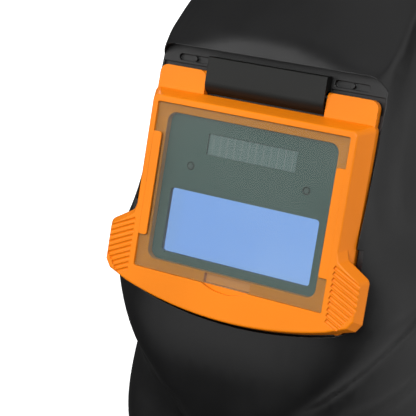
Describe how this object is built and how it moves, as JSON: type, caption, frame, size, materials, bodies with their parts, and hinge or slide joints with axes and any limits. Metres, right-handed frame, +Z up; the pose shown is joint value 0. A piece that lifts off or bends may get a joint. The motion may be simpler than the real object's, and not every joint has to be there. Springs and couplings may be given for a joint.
{
  "type": "flip-front welding helmet",
  "caption": "Full-face welding helmet with a flip-up auto-darkening lens frame, fixed inner window, tilting shell and ratchet headgear.",
  "frame": {"origin": "middle of the bottom of the bounding box, on the plane of the shell's bottom rim", "axes": "+Z up; -Y is the way the wearer looks, out of the lens; +X is to the right for someone facing the lens"},
  "size_m": [0.236, 0.3154, 0.314],
  "materials": {
    "shell_black": "satin",
    "frame_orange": "semi-gloss",
    "clear_plastic": "polished",
    "darkening_glass": "polished",
    "filter_grey": "matte",
    "solar_glass": "polished",
    "sensor_glass": "polished",
    "circuit_board": "semi-gloss",
    "steel": "brushed",
    "seal_rubber": "matte",
    "headgear_plastic": "satin",
    "knob_plastic": "satin",
    "pad_fabric": "soft",
    "washer_plastic": "semi-gloss"
  },
  "bodies": {
    "headgear": {"headband": "headgear_plastic", "sweatband": "pad_fabric", "rear_pad": "pad_fabric", "crown_strap_left": "headgear_plastic", "crown_strap_right": "headgear_plastic", "crown_pin": "headgear_plastic", "crown_rivet_left": "steel", "crown_rivet_right": "steel", "ratchet_housing": "headgear_plastic", "strap_divider": "headgear_plastic", "ratchet_washer": "steel", "side_arm_left": "headgear_plastic", "side_arm_right": "headgear_plastic", "arm_post_left": "headgear_plastic", "arm_post_right": "headgear_plastic", "arm_rivet_left": "steel", "arm_rivet_right": "steel", "pivot_bolt_left": "steel", "pivot_bolt_right": "steel", "pivot_spacer_left": "washer_plastic", "pivot_spacer_right": "washer_plastic", "friction_washer_left": "washer_plastic", "friction_washer_right": "washer_plastic"},
    "shell": {"helmet_shell": "shell_black", "window_gasket": "seal_rubber", "inner_window": "clear_plastic", "window_retainer": "shell_black", "hinge_block": "shell_black", "hinge_pin": "steel", "flip_spring_left": "steel", "flip_spring_right": "steel"},
    "flip_front": {"flip_frame": "frame_orange", "cover_lens": "clear_plastic", "filter_front_case": "filter_grey", "darkening_glass": "darkening_glass", "solar_cell": "solar_glass", "light_sensor_left": "sensor_glass", "light_sensor_right": "sensor_glass", "filter_rear_case": "filter_grey", "control_board": "circuit_board", "coin_cell_left": "steel", "coin_cell_right": "steel", "filter_clip": "steel"},
    "sensitivity_dial": {"sensitivity_dial": "knob_plastic"},
    "delay_dial": {"delay_dial": "knob_plastic"},
    "rear_strap_left": {"rear_strap_left": "headgear_plastic"},
    "rear_strap_right": {"rear_strap_right": "headgear_plastic"},
    "ratchet_knob": {"ratchet_knob": "knob_plastic", "ratchet_pinion": "steel"},
    "tension_knob_left": {"tension_knob_left": "knob_plastic"},
    "tension_knob_right": {"tension_knob_right": "knob_plastic"}
  },
  "joints": [
    {"name": "shell_tilt", "type": "hinge", "parent": "headgear", "child": "shell", "pos_m": [0, 0.002, 0.192], "axis": [-1, 0, 0], "range_deg": [0, 45]},
    {"name": "flip_hinge", "type": "hinge", "parent": "shell", "child": "flip_front", "pos_m": [0, -0.10801, 0.21387], "axis": [-1, 0, 0], "range_deg": [0, 95]},
    {"name": "sensitivity_turn", "type": "hinge", "parent": "flip_front", "child": "sensitivity_dial", "pos_m": [-0.03, -0.11803, 0.17477], "axis": [0, -0.9537, 0.3007], "range_deg": [-135, 135]},
    {"name": "delay_turn", "type": "hinge", "parent": "flip_front", "child": "delay_dial", "pos_m": [0.03, -0.11803, 0.17477], "axis": [0, -0.9537, 0.3007], "range_deg": [-135, 135]},
    {"name": "ratchet_turn", "type": "hinge", "parent": "headgear", "child": "ratchet_knob", "pos_m": [0, 0.1426, 0.16702], "axis": [0, 0.9848, -0.1736], "range_deg": [-90, 180]},
    {"name": "left_strap_slide", "type": "hinge", "parent": "headgear", "child": "rear_strap_left", "pos_m": [0, 0.052, 0.183], "axis": [0, 0.1736, 0.9848], "range_deg": [-12, 6]},
    {"name": "right_strap_slide", "type": "hinge", "parent": "headgear", "child": "rear_strap_right", "pos_m": [0, 0.052, 0.183], "axis": [0, 0.1736, 0.9848], "range_deg": [-6, 12]},
    {"name": "left_tension_turn", "type": "hinge", "parent": "headgear", "child": "tension_knob_left", "pos_m": [-0.11, 0.002, 0.192], "axis": [1, 0, 0], "range_deg": [-180, 180]},
    {"name": "right_tension_turn", "type": "hinge", "parent": "headgear", "child": "tension_knob_right", "pos_m": [0.11, 0.002, 0.192], "axis": [1, 0, 0], "range_deg": [-180, 180]}
  ],
  "couplings": [
    {"joint": "left_strap_slide", "follows": "ratchet_turn", "ratio": -0.062814},
    {"joint": "right_strap_slide", "follows": "ratchet_turn", "ratio": 0.059382}
  ]
}
